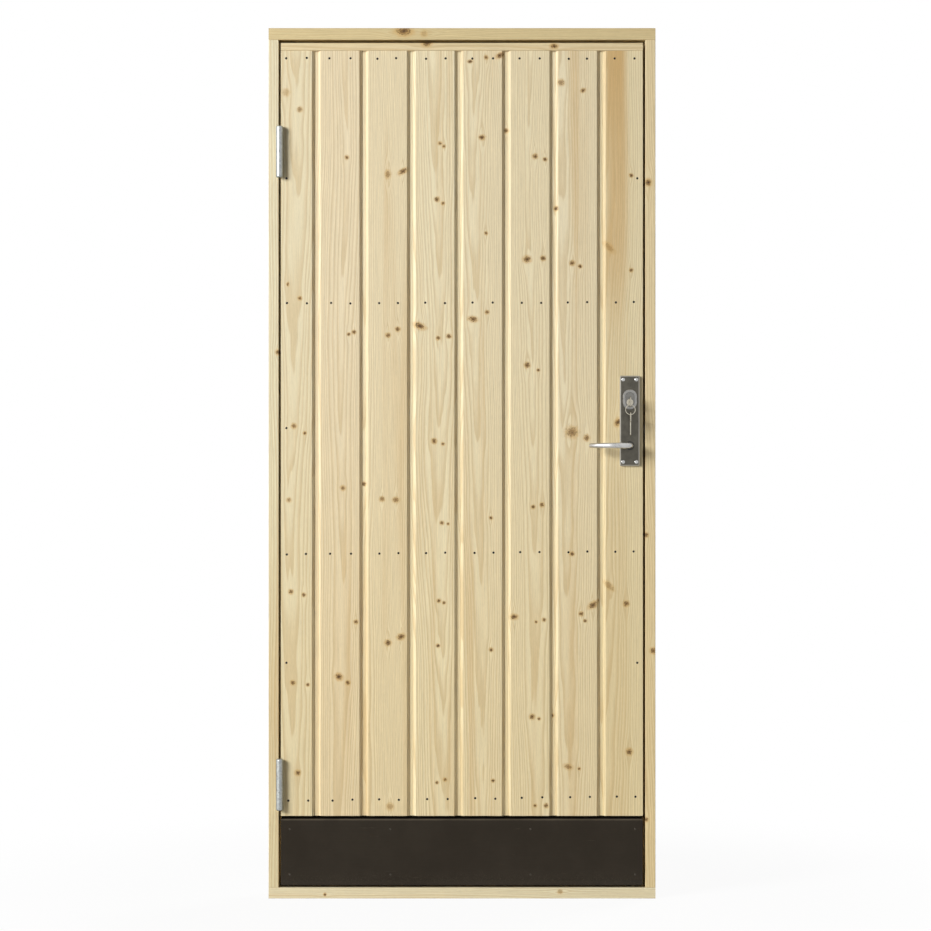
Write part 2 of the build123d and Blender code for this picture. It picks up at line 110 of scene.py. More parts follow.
class Wiring:
    """Adds nodes to one node tree and links them. Its numbers are a Mix node's sockets for colours."""

    MIX_INPUTS = (0, 6, 7)
    MIX_RESULT = 2

    def __init__(self, tree: bpy.types.NodeTree) -> None:
        """Takes the tree to work in.

        Args:
            tree: The node tree of a material, a world or a group.
        """
        self.tree = tree

    def node(self, kind: str, **settings: object) -> bpy.types.Node:
        """Adds one node.

        Args:
            kind: Blender's name of the node type.
            settings: Properties of the node.

        Returns:
            The new node.
        """
        made = self.tree.nodes.new(kind)
        for name, value in settings.items():
            setattr(made, name, value)
        return made

    def put(self, target: Socket, value: object) -> None:
        """Links a socket to an input, or sets the input to a plain value.

        Args:
            target: The input.
            value: A socket, a number, a vector or a colour.
        """
        if isinstance(value, Socket):
            self.tree.links.new(value, target)
        else:
            target.default_value = value

    def math(self, operation: str, *values: object) -> Socket:
        """Adds a Math node.

        Args:
            operation: Blender's name of the operation.
            values: Its one to three operands.

        Returns:
            The result.
        """
        made = self.node("ShaderNodeMath", operation=operation)
        for target, value in zip(made.inputs, values):
            self.put(target, value)
        return made.outputs[0]

    def plus(self, first: object, second: object) -> Socket:
        """The sum of two values."""
        return self.math("ADD", first, second)

    def minus(self, first: object, second: object) -> Socket:
        """The first value less the second."""
        return self.math("SUBTRACT", first, second)

    def times(self, first: object, second: object) -> Socket:
        """The product of two values."""
        return self.math("MULTIPLY", first, second)

    def over(self, first: object, second: object) -> Socket:
        """The first value divided by the second."""
        return self.math("DIVIDE", first, second)

    def times_plus(self, value: object, factor: object, rest: object) -> Socket:
        """A value times a factor, with the rest added."""
        return self.math("MULTIPLY_ADD", value, factor, rest)

    def larger(self, first: object, second: object) -> Socket:
        """The larger of two values."""
        return self.math("MAXIMUM", first, second)

    def absolute(self, value: object) -> Socket:
        """A value without its sign."""
        return self.math("ABSOLUTE", value)

    def length(self, first: object, second: object) -> Socket:
        """The length of a vector with two parts."""
        return self.math("SQRT", self.plus(self.times(first, first), self.times(second, second)))

    def vector_math(self, operation: str, *values: object) -> Socket:
        """Adds a Vector Math node.

        Args:
            operation: Blender's name of the operation.
            values: Its operands.

        Returns:
            The resulting vector.
        """
        made = self.node("ShaderNodeVectorMath", operation=operation)
        for target, value in zip(made.inputs, values):
            self.put(target, value)
        return made.outputs[0]

    def fade(
        self, value: object, start: float, end: float, first: float = 0.0, last: float = 1.0
    ) -> Socket:
        """Adds a smooth Map Range node.

        Args:
            value: What is mapped.
            start: The value that gives the first result.
            end: The value that gives the last result.
            first: The first result.
            last: The last result.

        Returns:
            The mapped value.
        """
        low, high = (start, end) if start < end else (end, start)
        to_low, to_high = (first, last) if start < end else (last, first)
        made = self.node("ShaderNodeMapRange", interpolation_type="SMOOTHSTEP")
        for target, number in zip(made.inputs, (value, low, high, to_low, to_high)):
            self.put(target, number)
        return made.outputs[0]

    def noise(self, place: Socket, scale: float, detail: float = 2.0, rough: float = 0.5) -> Socket:
        """Adds a Noise Texture node.

        Args:
            place: Where it is read.
            scale: How fine it is, per metre.
            detail: How many octaves it has.
            rough: How strong the finer octaves are.

        Returns:
            A value about 0.5.
        """
        made = self.node("ShaderNodeTexNoise")
        given = {"Vector": place, "Scale": scale, "Detail": detail, "Roughness": rough}
        for name, value in given.items():
            self.put(made.inputs[name], value)
        return made.outputs[0]

    def mix(self, share: object, first: object, second: object, blend: str = "MIX") -> Socket:
        """Adds a colour Mix node.

        Args:
            share: How much of the second colour there is.
            first: The first colour.
            second: The second colour.
            blend: Blender's name of the blend type.

        Returns:
            The mixed colour.
        """
        made = self.node("ShaderNodeMix", data_type="RGBA", blend_type=blend)
        for index, value in zip(self.MIX_INPUTS, (share, first, second)):
            plain_colour = isinstance(value, tuple) and len(value) == 3
            self.put(made.inputs[index], (*value, 1.0) if plain_colour else value)
        return made.outputs[self.MIX_RESULT]

    def split(self, vector: Socket) -> tuple[Socket, Socket, Socket]:
        """Takes a vector apart.

        Args:
            vector: The vector.

        Returns:
            Its three parts.
        """
        made = self.node("ShaderNodeSeparateXYZ")
        self.put(made.inputs[0], vector)
        return made.outputs[0], made.outputs[1], made.outputs[2]

    def join(self, x: object, y: object, z: object) -> Socket:
        """Puts a vector together.

        Args:
            x: Its first part.
            y: Its second part.
            z: Its third part.

        Returns:
            The vector.
        """
        made = self.node("ShaderNodeCombineXYZ")
        for target, value in zip(made.inputs, (x, y, z)):
            self.put(target, value)
        return made.outputs[0]

    def stretch(self, place: Socket, scales: Triple) -> Socket:
        """A place with each axis scaled by itself."""
        return self.vector_math("MULTIPLY", place, scales)

    def grain(self, place: Socket, scales: Triple, detail: float = 2.0, rough: float = 0.5) -> Socket:
        """A noise about 0.5 that has its own scale per metre on each axis."""
        return self.noise(self.stretch(place, scales), 1.0, detail, rough)

    def object_place(self) -> Socket:
        """The place on the piece, in metres."""
        return self.node("ShaderNodeTexCoord").outputs["Object"]

    def group(self, tree: bpy.types.NodeTree, given: dict[str, object]) -> Sockets:
        """Adds a node group.

        Args:
            tree: The group.
            given: What goes into its inputs, by name.

        Returns:
            Its outputs.
        """
        made = self.node("ShaderNodeGroup", node_tree=tree)
        for name, value in given.items():
            self.put(made.inputs[name], value)
        return made.outputs

    def bump(self, height: Socket, strength: float, distance: float) -> Socket:
        """Adds a Bump node.

        Args:
            height: The relief, about 0 to 1.
            strength: How much of it shows.
            distance: How high it stands, in metres.

        Returns:
            The bent normal.
        """
        made = self.node("ShaderNodeBump")
        given = {"Strength": strength, "Distance": distance, "Height": height}
        for name, value in given.items():
            self.put(made.inputs[name], value)
        return made.outputs[0]


def new_group(
    name: str, inputs: dict[str, str], outputs: dict[str, str]
) -> tuple[Wiring, dict[str, Socket], Sockets]:
    """Starts a shader node group.

    Args:
        name: The group's name.
        inputs: Names and kinds of its inputs, such as Float, Vector or Color.
        outputs: Names and kinds of its outputs.

    Returns:
        The wiring of the group, its inputs by name, and the sockets that its results go into.
    """
    tree = bpy.data.node_groups.new(name, "ShaderNodeTree")
    for way, sockets in (("INPUT", inputs), ("OUTPUT", outputs)):
        for label, kind in sockets.items():
            tree.interface.new_socket(label, in_out=way, socket_type=f"NodeSocket{kind}")
    wiring = Wiring(tree)
    given = wiring.node("NodeGroupInput")
    result = wiring.node("NodeGroupOutput")
    return wiring, {label: given.outputs[label] for label in inputs}, result.inputs


def new_material(name: str) -> tuple[bpy.types.Material, Wiring, bpy.types.Node]:
    """Starts a material with one Principled shader.

    Args:
        name: The material's name.

    Returns:
        The material, its wiring and the shader node.
    """
    material = bpy.data.materials.new(name)
    material.use_nodes = True
    shader = material.node_tree.nodes["Principled BSDF"]
    return material, Wiring(material.node_tree), shader


@dataclass(frozen=True)
class Knot:
    """A knot, placed by the column and row where the photograph shows it.

    Its radius is in millimetres. Stretch lengthens it across the board, and lean turns that length,
    in degrees.
    """

    column: float
    row: float
    radius: float
    stretch: float = 1.0
    lean: float = 0.0
    dark: float = 0.92
    cracks: float = 0.0


@dataclass(frozen=True)
class KnotGroup:
    """The node group that draws one knot and bends the grain round it.

    A reach runs from where a mark ends to where it is full, in shares of the knot's radius.
    """

    name: str = "knot"
    tightness: float = 1.05
    wobble: float = 1.2
    wobble_scale: float = 150.0
    ring_pitch: float = 13.0
    ring_depth: float = 0.18
    core_reach: Span = (1.15, 0.4)
    rim_reach: Span = (0.4, 0.0)
    rim_scale: float = 330.0
    rim_breaks: Span = (0.35, 0.6)
    crack_turns: float = 3.5
    crack_stray: float = 5.0
    crack_width: Span = (0.2, 0.02)
    crack_reach: Span = (3.0, 0.6)
    halo_reach: Span = (2.5, 0.8)
    halo_least: float = 0.45
    halo_gain: float = 0.5
    pin_reach: Span = (0.85, 0.1)
    pin_power: float = 3.0
    bend_reach: float = 3.0
    bend_along: float = 0.5
    bend_core: float = 0.6
    bend_push: float = 1.5

    def tree(self) -> bpy.types.ShaderNodeTree:
        """The group, made the first time that it is asked for."""
        return bpy.data.node_groups.get(self.name) or self.build()

    def build(self) -> bpy.types.ShaderNodeTree:
        """Makes the group.

        Returns:
            The node group. Marks holds the knot's core, its dark rim and the warm wood round it.
        """
        inputs = {
            "Place": "Vector", "Centre": "Vector", "Size": "Vector", "Turn": "Vector",
            "Dark": "Float", "Cracks": "Float", "Marks": "Vector", "Shift": "Float",
        }
        w, given, result = new_group(self.name, inputs, {"Marks": "Vector", "Shift": "Float"})
        place, dark = given["Place"], given["Dark"]
        across, _, along = w.split(w.vector_math("SUBTRACT", place, given["Centre"]))
        half_length, half_width, _ = w.split(given["Size"])
        cosine, sine, _ = w.split(given["Turn"])
        u = w.over(w.plus(w.times(across, cosine), w.times(along, sine)), half_length)
        v = w.over(w.minus(w.times(along, cosine), w.times(across, sine)), half_width)
        wobble = w.minus(w.noise(place, self.wobble_scale, detail=3.0), 0.5)
        far = w.times_plus(wobble, self.wobble, w.times(w.length(u, v), self.tightness))
        wave = w.math("SINE", w.times(far, self.ring_pitch))
        rings = w.times_plus(wave, self.ring_depth, 1.0 - self.ring_depth)
        core = w.times(w.times(w.fade(far, *self.core_reach), rings), dark)
        edge = w.fade(w.absolute(w.minus(far, 1.0)), *self.rim_reach)
        patchy = w.fade(w.noise(place, self.rim_scale, detail=1.0), *self.rim_breaks)
        rim = w.times(w.times(edge, patchy), dark)
        angle = w.times_plus(w.math("ARCTAN2", v, u), self.crack_turns, w.times(wobble, self.crack_stray))
        ray = w.fade(w.absolute(w.math("SINE", angle)), *self.crack_width)
        ray = w.times(w.times(ray, w.fade(far, *self.crack_reach)), given["Cracks"])
        halo = w.times_plus(dark, self.halo_gain, self.halo_least)
        halo = w.times(w.fade(far, *self.halo_reach), halo)
        pin = w.times(w.fade(far, *self.pin_reach), w.math("POWER", dark, self.pin_power))
        marks = w.join(core, w.larger(w.larger(rim, ray), pin), halo)
        w.put(result["Marks"], w.vector_math("MAXIMUM", given["Marks"], marks))
        near = w.length(across, w.times(along, self.bend_along))
        near = w.over(near, w.times(half_width, self.bend_reach))
        near = w.math("EXPONENT", w.times(w.times(near, near), -1.0))
        side = w.over(across, w.length(across, w.times(half_width, self.bend_core)))
        push = w.times(w.times(side, near), w.times(half_width, self.bend_push))
        w.put(result["Shift"], w.minus(given["Shift"], push))
        return w.tree


@dataclass(frozen=True)
class PineGroup:
    """The node group of sawn pine: year rings round a pith, fibres, warm heart wood and knots.

    A grain is a pattern's scale per metre on each axis, small along the fibres. Sways are in metres.
    """

    name: str = "pine"
    heart: Colour = (0.58, 0.38, 0.155)
    warm: Colour = (0.56, 0.315, 0.075)
    knot_wood: Colour = (0.14, 0.058, 0.012)
    bark: Colour = (0.02, 0.009, 0.004)
    # Painted shade: a darker, warmer tint towards the foot of each timber.
    foot_shade_tint: Colour = (0.985, 0.955, 0.87)
    foot_shade_fade: Span = (1.5, 0.3)
    wander_grain: Triple = (5.0, 5.0, 1.1)
    wander_sway: float = 0.05
    ripple_grain: Triple = (40.0, 40.0, 5.0)
    ripple_sway: float = 0.006
    year_scale: float = 60.0
    year_stray: float = 3.0
    late_start: Span = (0.25, 0.85)
    late_end: Span = (1.0, 0.9)
    fibre_grain: Triple = (900.0, 900.0, 14.0)
    pore_grain: Triple = (2600.0, 2600.0, 90.0)
    plain_tone: float = 0.6
    fibre_tone: float = 0.5
    pore_tone: float = 0.28
    band_grain: Triple = (26.0, 26.0, 0.7)
    band_edge: Span = (0.52, 0.78)
    band_share: float = 0.42
    patch_grain: Triple = (9.0, 9.0, 2.4)
    patch_least: float = 0.35
    patch_gain: float = 1.2
    heart_sway: float = 0.03
    heart_edge: Span = (1.35, 0.45)
    halo_share: float = 0.75
    rim_share: float = 0.85
    roughness: float = 0.55
    fibre_rough: float = 0.22
    late_gloss: float = 0.09
    knot_gloss: float = 0.16
    fibre_relief: float = 0.6
    late_relief: float = 0.35
    rim_relief: float = 0.5

    def tree(self) -> bpy.types.ShaderNodeTree:
        """The group, made the first time that it is asked for."""
        return bpy.data.node_groups.get(self.name) or self.build()

    def build(self) -> bpy.types.ShaderNodeTree:
        """Makes the group.

        Returns:
            The node group. Place has the fibres along its third axis.
        """
        inputs = {
            "Place": "Vector", "Seed": "Vector", "Pith": "Vector", "Tilt": "Vector", "Ring": "Float",
            "Early": "Color", "Late": "Color", "Contrast": "Float", "Heart": "Vector",
            "Marks": "Vector", "Shift": "Float", "Level": "Float",
        }
        outputs = {"Color": "Color", "Roughness": "Float", "Height": "Float"}
        w, given, result = new_group(self.name, inputs, outputs)
        place = w.vector_math("ADD", given["Place"], given["Seed"])
        x, y, z = w.split(given["Place"])
        pith_x, pith_y, _ = w.split(given["Pith"])
        tilt_x, tilt_y, _ = w.split(given["Tilt"])
        core, rim, halo = w.split(given["Marks"])
        wander = w.minus(w.grain(place, self.wander_grain), 0.5)
        ripple = w.minus(w.grain(place, self.ripple_grain), 0.5)
        away_x = w.plus(w.minus(x, pith_x), w.times_plus(tilt_x, z, given["Shift"]))
        away_x = w.times_plus(wander, self.wander_sway, away_x)
        away_y = w.times_plus(tilt_y, z, w.minus(y, pith_y))
        away_y = w.times_plus(ripple, self.ripple_sway, away_y)
        radius = w.length(away_x, away_y)
        years = w.noise(w.join(radius, 0.0, 0.0), self.year_scale, detail=1.0)
        phase = w.times_plus(years, self.year_stray, w.over(radius, given["Ring"]))
        phase = w.math("FRACT", phase)
        late = w.times(w.fade(phase, *self.late_start), w.fade(phase, *self.late_end))
        fibre = w.grain(place, self.fibre_grain, detail=3.0, rough=0.6)
        pore = w.grain(place, self.pore_grain, detail=1.0)
        bands = w.fade(w.grain(place, self.band_grain), *self.band_edge)
        patch = w.times_plus(w.grain(place, self.patch_grain), self.patch_gain, self.patch_least)
        colour = w.mix(w.times(late, given["Contrast"]), given["Early"], given["Late"])
        heart_x, heart_width, heart_depth = w.split(given["Heart"])
        aside = w.minus(w.times_plus(wander, self.heart_sway, x), heart_x)
        heart = w.fade(w.absolute(w.over(aside, heart_width)), *self.heart_edge)
        heart = w.times(w.times(heart, heart_depth), patch)
        colour = w.mix(w.larger(heart, w.times(bands, self.band_share)), colour, self.heart)
        tone = w.times_plus(pore, self.pore_tone, self.plain_tone)
        tone = w.times_plus(fibre, self.fibre_tone, tone)
        colour = w.mix(1.0, colour, w.join(tone, tone, tone), "MULTIPLY")
        # Painted shade: the wood turns darker and warmer towards the foot.
        shaded_foot = w.mix(1.0, colour, self.foot_shade_tint, "MULTIPLY")
        colour = w.mix(w.fade(given["Level"], *self.foot_shade_fade), colour, shaded_foot)
        colour = w.mix(w.times(halo, self.halo_share), colour, self.warm)
        colour = w.mix(core, colour, self.knot_wood)
        w.put(result["Color"], w.mix(w.times(rim, self.rim_share), colour, self.bark))
        rough = w.times_plus(late, -self.late_gloss, self.roughness)
        rough = w.times_plus(fibre, self.fibre_rough, rough)
        w.put(result["Roughness"], w.times_plus(core, -self.knot_gloss, rough))
        height = w.times_plus(late, self.late_relief, w.times(fibre, self.fibre_relief))
        w.put(result["Height"], w.times_plus(rim, -self.rim_relief, height))
        return w.tree


@dataclass(frozen=True)
class PineFinish:
    """Planed, untreated pine of one timber, with its own rings and knots.

    Heart is the warm streak along the timber: its middle, its half width and how deep it is, the first
    two in metres. It is faint below the lower height of its fade and full above the upper one, in metres.
    A pith that lies far aside, in metres, gives straight grain. Year rings are in millimetres.
    """

    grain: Grain = Grain.UPRIGHT
    early: Colour = (0.79, 0.685, 0.46)
    late: Colour = (0.56, 0.40, 0.19)
    contrast: float = 0.46
    heart: Triple = (0.0, 0.01, 0.0)
    heart_fade: Span = (1.2, 1.6)
    heart_faint: float = 0.2
    knots: tuple[Knot, ...] = ()
    pith_aside: float = 0.0
    pith_stray: float = 0.045
    pith_depth: Span = (0.012, 0.05)
    ring: Span = (2.6, 4.2)
    tilt_across: float = 0.012
    tilt_through: Span = (0.008, 0.02)
    tone_stray: float = 0.02
    hue_stray: float = 0.01
    seed_reach: float = 9.0
    gloss: float = 0.35
    relief: float = 0.25 * MM
    relief_share: float = 0.35

    def centre(self, knot: Knot) -> Triple:
        """The middle of a knot, with the fibres along the third axis."""
        across, height = PHOTO.across(knot.column), PHOTO.height(knot.row)
        return (across, 0.0, height) if self.grain is Grain.UPRIGHT else (height, 0.0, across)

    def material(self, node: str) -> bpy.types.Material:
        """Makes the pine of one timber.

        Args:
            node: The timber's name, which also picks its rings.

        Returns:
            The material.
        """
        draw = random.Random(node)
        low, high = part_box(node)
        if self.grain is Grain.LEVEL:
            low, high = low.zyx, high.zyx
        material, w, shader = new_material(f"pine_{node}")
        place = w.object_place()
        x, y, z = w.split(place)
        if self.grain is Grain.LEVEL:
            place = w.join(z, y, x)
        marks, shift = (0.0, 0.0, 0.0), 0.0
        for knot in self.knots:
            marks, shift = self.add_knot(w, knot, place, marks, shift)
        aside = self.pith_aside + draw.uniform(-self.pith_stray, self.pith_stray)
        pith = ((low.x + high.x) / 2 + aside, high.y + draw.uniform(*self.pith_depth), 0.0)
        streak_x, streak_half, depth = self.heart
        depth = w.fade(z, *self.heart_fade, self.heart_faint * depth, depth)
        pale = draw.uniform(1.0 - self.tone_stray, 1.0 + self.tone_stray)
        hues = (1.0 - self.hue_stray, 1.0 + self.hue_stray)
        early = [pale * part * draw.uniform(*hues) for part in self.early]
        given = {
            "Place": place, "Heart": w.join(streak_x, streak_half, depth), "Pith": pith, "Level": z,
            "Seed": tuple(draw.uniform(-self.seed_reach, self.seed_reach) for _ in range(3)),
            "Tilt": (
                draw.uniform(-self.tilt_across, self.tilt_across), draw.uniform(*self.tilt_through), 0.0,
            ),
            "Ring": draw.uniform(*self.ring) * MM, "Early": (*early, 1.0), "Late": (*self.late, 1.0),
            "Contrast": self.contrast, "Marks": marks, "Shift": shift,
        }
        wood = w.group(PineGroup().tree(), given)
        w.put(shader.inputs["Base Color"], wood["Color"])
        w.put(shader.inputs["Roughness"], wood["Roughness"])
        w.put(shader.inputs["Normal"], w.bump(wood["Height"], self.relief_share, self.relief))
        shader.inputs["Specular IOR Level"].default_value = self.gloss
        return material

    def add_knot(
        self, w: Wiring, knot: Knot, place: Socket, marks: object, shift: object
    ) -> tuple[Socket, Socket]:
        """Adds one knot to a timber's material.

        Args:
            w: The material's wiring.
            knot: The knot.
            place: Where the material is read.
            marks: The marks of the knots before it.
            shift: The bend of the grain round the knots before it.

        Returns:
            The marks and the bend with this knot.
        """
        turn = math.radians(knot.lean)
        if self.grain is Grain.LEVEL:
            turn = math.pi / 2 - turn
        given = {
            "Place": place, "Centre": self.centre(knot), "Turn": (math.cos(turn), math.sin(turn), 0.0),
            "Size": (knot.radius * knot.stretch * MM, knot.radius * MM, 0.0),
            "Dark": knot.dark, "Cracks": knot.cracks, "Marks": marks, "Shift": shift,
        }
        made = w.group(KnotGroup().tree(), given)
        return made["Marks"], made["Shift"]


@dataclass(frozen=True)
class MetalFinish:
    """Bare or plated metal with fine brush lines and smudges.

    Bevels get a painted highlight, a paler tone of their own, where one is given.
    """

    name: str
    colour: Colour
    roughness: float
    lay: Lay = Lay.ALONG_Z
    brush: float = 0.1
    bevel_highlight: Colour | None = None
    bevel_highlight_edge: Span = (0.95, 0.8)
    dull: float = 0.72
    line_scale: float = 5200.0
    line_share: float = 0.3
    smudge_scale: float = 55.0
    smudge_edge: Span = (0.3, 0.7)
    smudge_rough: float = 0.2
    relief: float = 0.05 * MM
    relief_share: float = 0.12

    def material(self) -> bpy.types.Material:
        """Makes the metal.

        Returns:
            The material.
        """
        material, w, shader = new_material(self.name)
        place = w.object_place()
        lines = w.noise(w.stretch(place, self.lay.value), self.line_scale)
        smudge = w.noise(place, self.smudge_scale, detail=3.0, rough=0.6)
        dull = tuple(self.dull * part for part in self.colour)
        colour = w.mix(w.fade(smudge, *self.smudge_edge), dull, self.colour)
        colour = w.mix(w.times(lines, self.line_share), colour, dull)
        if self.bevel_highlight:
            # Painted highlight: faces turned away from the front, such as bevels, take the paler tone.
            _, square, _ = w.split(w.node("ShaderNodeTexCoord").outputs["Normal"])
            colour = w.mix(w.fade(w.absolute(square), *self.bevel_highlight_edge), colour, self.bevel_highlight)
        w.put(shader.inputs["Base Color"], colour)
        rough = w.times_plus(lines, self.brush, self.roughness - self.brush / 2)
        rough = w.times_plus(w.minus(smudge, 0.5), self.smudge_rough, rough)
        w.put(shader.inputs["Roughness"], rough)
        w.put(shader.inputs["Normal"], w.bump(lines, self.relief_share, self.relief))
        shader.inputs["Metallic"].default_value = 1.0
        return material


@dataclass(frozen=True)
class ZincFinish:
    """Bright zinc on steel, spangled and a little stained."""

    name: str = "zinc_steel"
    light: Colour = (0.48, 0.50, 0.48)
    grey: Colour = (0.25, 0.265, 0.265)
    stain: Colour = (0.20, 0.15, 0.09)
    spangle_scale: float = 260.0
    spangle_share: float = 0.5
    grain_scale: float = 900.0
    grain_share: float = 0.4
    grain_rough: float = 0.25
    patch_scale: float = 70.0
    patch_edge: Span = (0.3, 0.8)
    patch_rough: Span = (0.24, 0.42)
    stain_edge: Span = (0.56, 0.8)
    stain_share: float = 0.6
    relief: float = 0.08 * MM
    relief_share: float = 0.2

    def material(self) -> bpy.types.Material:
        """Makes the zinc.

        Returns:
            The material.
        """
        material, w, shader = new_material(self.name)
        place = w.object_place()
        cells = w.node("ShaderNodeTexVoronoi")
        w.put(cells.inputs["Vector"], place)
        w.put(cells.inputs["Scale"], self.spangle_scale)
        spangle, _, _ = w.split(cells.outputs["Color"])
        grain = w.noise(place, self.grain_scale, detail=3.0)
        patch = w.noise(place, self.patch_scale, detail=3.0, rough=0.6)
        bright = w.times_plus(spangle, self.spangle_share, w.times(grain, self.grain_share))
        colour = w.mix(bright, self.grey, self.light)
        stained = w.times(w.fade(patch, *self.stain_edge), self.stain_share)
        w.put(shader.inputs["Base Color"], w.mix(stained, colour, self.stain))
        rough = w.fade(patch, *self.patch_edge, *self.patch_rough)
        w.put(shader.inputs["Roughness"], w.times_plus(grain, self.grain_rough, rough))
        w.put(shader.inputs["Normal"], w.bump(grain, self.relief_share, self.relief))
        shader.inputs["Metallic"].default_value = 1.0
        return material


@dataclass(frozen=True)
class SheetFinish:
    """Dark coated sheet, with the coat's fine peel, dust along its foot and a painted highlight along its
    fold.

    The fold and the two heights of the dust's fade are in metres.
    """

    name: str = "dark_sheet"
    coat: Colour = (0.007, 0.0055, 0.004)
    worn: Colour = (0.014, 0.0115, 0.0085)
    gloss: float = 0.3
    gloss_tint: Colour = (1.0, 0.82, 0.62)
    # The dust tone also colours the scuffs and the painted highlight along the fold.
    dust: Colour = (0.11, 0.09, 0.065)
    dust_fade: Span = (0.075, 0.03)
    dust_share: float = 0.3
    # The height of the fold, where a painted highlight runs along the sheet.
    fold: float = 0.1795
    fold_half: float = 2.6 * MM
    fold_highlight_patches: Span = (0.2, 0.6)
    fold_highlight_share: float = 0.7
    cloud_scale: float = 9.0
    cloud_edge: Span = (0.3, 0.75)
    cloud_rough: float = 0.22
    speck_scale: float = 420.0
    speck_edge: Span = (0.45, 0.8)
    scuff_grain: Triple = (14.0, 14.0, 240.0)
    scuff_edge: Span = (0.66, 0.8)
    scuff_share: float = 0.25
    scuff_fade: Span = (0.4, 0.8)
    scuff_rough: Span = (0.40, 0.52)
    relief: float = 0.08 * MM
    relief_share: float = 0.12

    def material(self) -> bpy.types.Material:
        """Makes the coated sheet.

        Returns:
            The material.
        """
        material, w, shader = new_material(self.name)
        place = w.object_place()
        _, _, height = w.split(place)
        cloud = w.noise(place, self.cloud_scale, detail=4.0, rough=0.6)
        speck = w.noise(place, self.speck_scale, detail=3.0, rough=0.7)
        scuff = w.grain(place, self.scuff_grain, detail=3.0, rough=0.65)
        colour = w.mix(w.fade(cloud, *self.cloud_edge), self.coat, self.worn)
        colour = w.mix(w.times(w.fade(scuff, *self.scuff_edge), self.scuff_share), colour, self.dust)
        dusty = w.times(w.fade(height, *self.dust_fade), w.fade(speck, *self.speck_edge))
        from_fold = w.absolute(w.minus(height, self.fold))
        # Painted highlight: a paler band along the fold, where the fold catches the light, broken into
        # patches.
        rubbed = w.times(w.fade(from_fold, self.fold_half, 0.0), w.fade(cloud, *self.fold_highlight_patches))
        dust_and_fold_highlight = w.larger(w.times(dusty, self.dust_share), w.times(rubbed, self.fold_highlight_share))
        w.put(shader.inputs["Base Color"], w.mix(dust_and_fold_highlight, colour, self.dust))
        rough = w.fade(scuff, *self.scuff_fade, *self.scuff_rough)
        w.put(shader.inputs["Roughness"], w.times_plus(cloud, self.cloud_rough, rough))
        w.put(shader.inputs["Normal"], w.bump(speck, self.relief_share, self.relief))
        shader.inputs["Specular IOR Level"].default_value = self.gloss
        shader.inputs["Specular Tint"].default_value = (*self.gloss_tint, 1.0)
        return material


@dataclass(frozen=True)
class PlasticFinish:
    """Moulded plastic with a fine spark grain, paler where it is rubbed."""

    name: str
    colour: Colour
    roughness: float
    spark_scale: float = 2400.0
    spark_rough: float = 0.2
    rub_scale: float = 120.0
    rub_edge: Span = (0.45, 0.8)
    rub_gain: float = 2.2
    relief: float = 0.05 * MM
    relief_share: float = 0.2

    def material(self) -> bpy.types.Material:
        """Makes the plastic.

        Returns:
            The material.
        """
        material, w, shader = new_material(self.name)
        place = w.object_place()
        spark = w.noise(place, self.spark_scale)
        rub = w.noise(place, self.rub_scale, detail=3.0)
        pale = tuple(self.rub_gain * part for part in self.colour)
        w.put(shader.inputs["Base Color"], w.mix(w.fade(rub, *self.rub_edge), self.colour, pale))
        rough = w.times_plus(spark, self.spark_rough, self.roughness - self.spark_rough / 2)
        w.put(shader.inputs["Roughness"], rough)
        w.put(shader.inputs["Normal"], w.bump(spark, self.relief_share, self.relief))
        return material


def dress(node: str, material: bpy.types.Material) -> None:
    """Gives a solid of the frame its finish.

    Args:
        node: The solid's name.
        material: Its finish.
    """
    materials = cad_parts[node].data.materials
    if materials:
        materials[0] = material
    else:
        materials.append(material)
    log.info("dressed %s", node)


def finish_piece(
    name: str, bm: bmesh.types.BMesh, material: bpy.types.Material, body: str
) -> None:
    """Turns a finished bmesh into a piece that rides on a body.

    Args:
        name: The piece's name.
        bm: Its shape, which is freed.
        material: Its finish.
        body: The body that carries it.
    """
    mesh = keep_mesh(name, bm)
    for face in mesh.polygons:
        face.use_smooth = True
    mesh.set_sharp_from_angle(angle=SHARP_ANGLE)
    mesh.materials.append(material)
    piece = bpy.data.objects.new(name, mesh)
    bpy.context.scene.collection.objects.link(piece)
    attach(piece, body)
    log.info("made %s with %d faces", name, len(mesh.polygons))


def keep_mesh(name: str, bm: bmesh.types.BMesh) -> bpy.types.Mesh:
    """Makes a mesh of a bmesh, with its faces turned outwards.

    Args:
        name: The mesh's name.
        bm: The shape, which is freed.

    Returns:
        The mesh.
    """
    bmesh.ops.recalc_face_normals(bm, faces=bm.faces)
    mesh = bpy.data.meshes.new(name)
    bm.to_mesh(mesh)
    bm.free()
    return mesh


@dataclass(frozen=True)
class Nail:
    """A nail's round head, driven flush with a low dome. Crown is the dome's flat width, as a share."""

    radius: float = 2.7 * MM
    rise: float = 0.4 * MM
    sides: int = 12
    crown: float = 0.72

    def head(self) -> bpy.types.Mesh:
        """Builds the head on the origin, looking up.

        Returns:
            The head's mesh.
        """
        bm = bmesh.new()
        bmesh.ops.create_circle(bm, cap_ends=True, segments=self.sides, radius=self.radius)
        self.raise_faces(bm, bm.faces[:], self.rise, self.crown)
        return keep_mesh("head", bm)

    @staticmethod
    def raise_faces(
        bm: bmesh.types.BMesh, faces: list[bmesh.types.BMFace], rise: float, width: float
    ) -> list[bmesh.types.BMFace]:
        """Extrudes faces, moves them up and scales them about the axis.

        Args:
            bm: The head so far.
            faces: The faces to extrude.
            rise: How far they move up.
            width: Their new width, as a share of the old.

        Returns:
            The moved faces.
        """
        made = bmesh.ops.extrude_face_region(bm, geom=faces)["geom"]
        verts = [item for item in made if isinstance(item, bmesh.types.BMVert)]
        bmesh.ops.translate(bm, verts=verts, vec=(0.0, 0.0, rise))
        bmesh.ops.scale(bm, verts=verts, vec=(width, width, 1.0))
        return [item for item in made if isinstance(item, bmesh.types.BMFace)]


